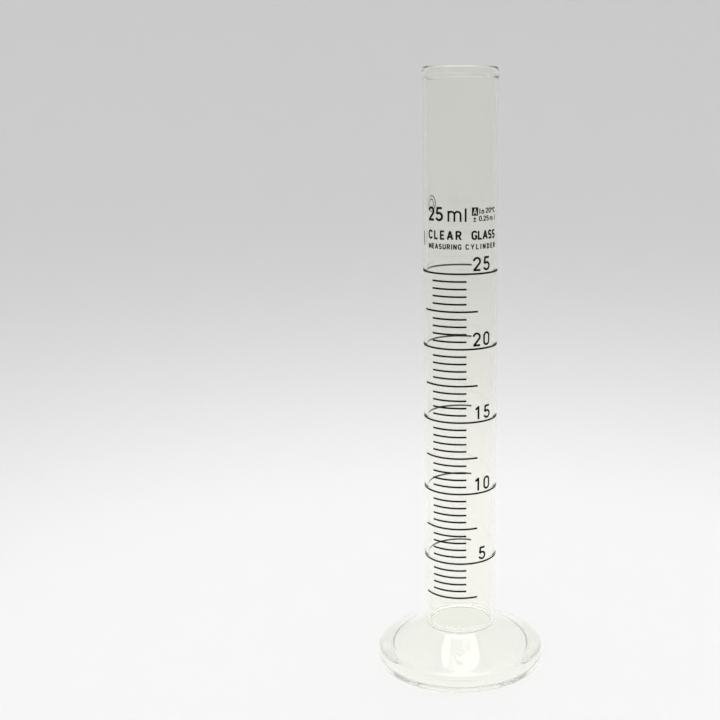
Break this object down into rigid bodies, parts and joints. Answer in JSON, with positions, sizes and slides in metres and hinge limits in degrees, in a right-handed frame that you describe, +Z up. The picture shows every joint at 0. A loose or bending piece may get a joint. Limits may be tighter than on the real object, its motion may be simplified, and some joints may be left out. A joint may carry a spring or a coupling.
{
  "type": "graduated cylinder",
  "caption": "Clear glass measuring cylinder: a straight tube with a beaded lip and pouring spout on a round glass foot, with a fired scale and numerals.",
  "frame": {"origin": "bottom centre of the foot, on the surface that it stands on", "axes": "+Z up along the tube, -Y through the middle of the scale; the pouring spout is 20 degrees from -X towards +Y"},
  "size_m": [0.046, 0.046, 0.1634],
  "materials": {
    "tube_glass": "fire-polished clear borosilicate",
    "foot_glass": "pressed and fire-polished clear borosilicate",
    "enamel": "screen-printed enamel, fired on, low gloss"
  },
  "bodies": {
    "root": {"calibration_text": "enamel", "capacity_label": "enamel", "class_badge": "enamel", "description_text": "enamel", "glass_foot": "foot_glass", "glass_tube": "tube_glass", "glass_type_text": "enamel", "long_line_02_5_ml": "enamel", "long_line_07_5_ml": "enamel", "long_line_12_5_ml": "enamel", "long_line_17_5_ml": "enamel", "long_line_22_5_ml": "enamel", "numeral_05": "enamel", "numeral_10": "enamel", "numeral_15": "enamel", "numeral_20": "enamel", "numeral_25": "enamel", "plain_emblem": "enamel", "ring_line_05_ml": "enamel", "ring_line_10_ml": "enamel", "ring_line_15_ml": "enamel", "ring_line_20_ml": "enamel", "ring_line_25_ml": "enamel", "short_lines_03_0_to_04_5_ml": "enamel", "short_lines_05_5_to_07_0_ml": "enamel", "short_lines_08_0_to_09_5_ml": "enamel", "short_lines_10_5_to_12_0_ml": "enamel", "short_lines_13_0_to_14_5_ml": "enamel", "short_lines_15_5_to_17_0_ml": "enamel", "short_lines_18_0_to_19_5_ml": "enamel", "short_lines_20_5_to_22_0_ml": "enamel", "short_lines_23_0_to_24_5_ml": "enamel", "side_bar": "enamel"}
  },
  "joints": []
}
